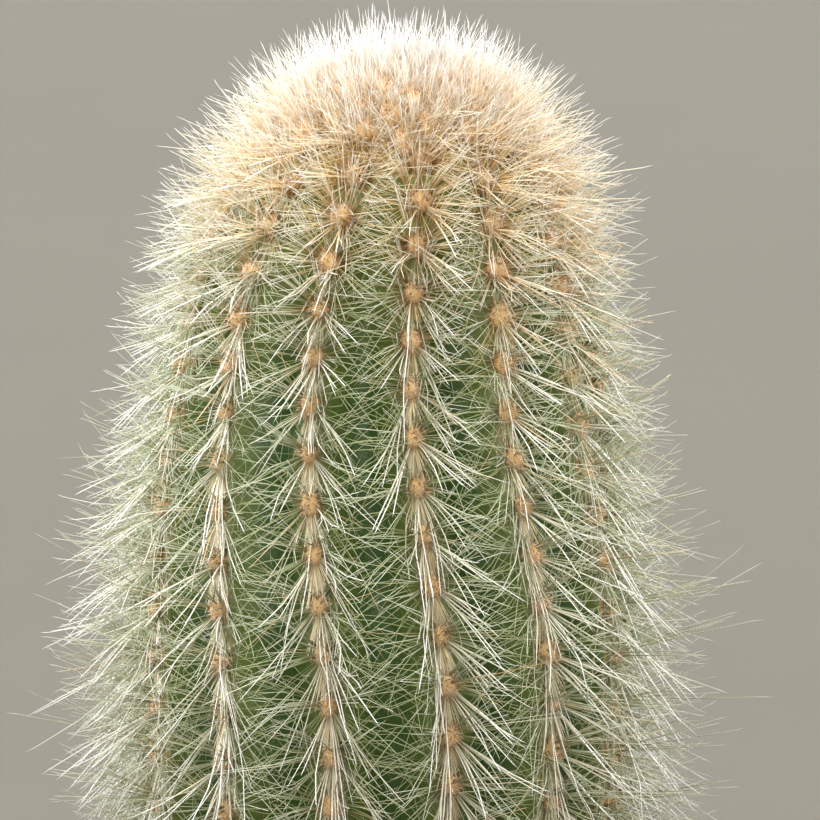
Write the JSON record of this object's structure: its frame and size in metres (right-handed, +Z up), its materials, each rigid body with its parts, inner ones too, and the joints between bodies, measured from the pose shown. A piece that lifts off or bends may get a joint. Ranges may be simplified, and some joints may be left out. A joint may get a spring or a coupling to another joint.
{
  "type": "potted cactus",
  "caption": "Columnar ribbed cactus with rows of felt areoles, dense pale spines and a woolly crown, standing in soil in a plain tapered clay pot.",
  "frame": {"origin": "centre of the pot's underside, on the ground", "axes": "+Z up along the pot and the column, -Y towards the side shown in the picture"},
  "size_m": [0.108, 0.108, 0.2086],
  "materials": {
    "clay": "unglazed fired clay, matt, with faint turning rings and pale lime bloom",
    "earth": "dry gritty potting mix of dark crumbs and small pale grit",
    "green_skin": "satin green skin with tan felt areoles and fine ivory spines",
    "cream_wool": "cream to tan wool with upright ivory bristles"
  },
  "bodies": {
    "root": {"pot": "clay", "soil": "earth", "stem": "green_skin", "crown": "cream_wool"}
  },
  "joints": []
}
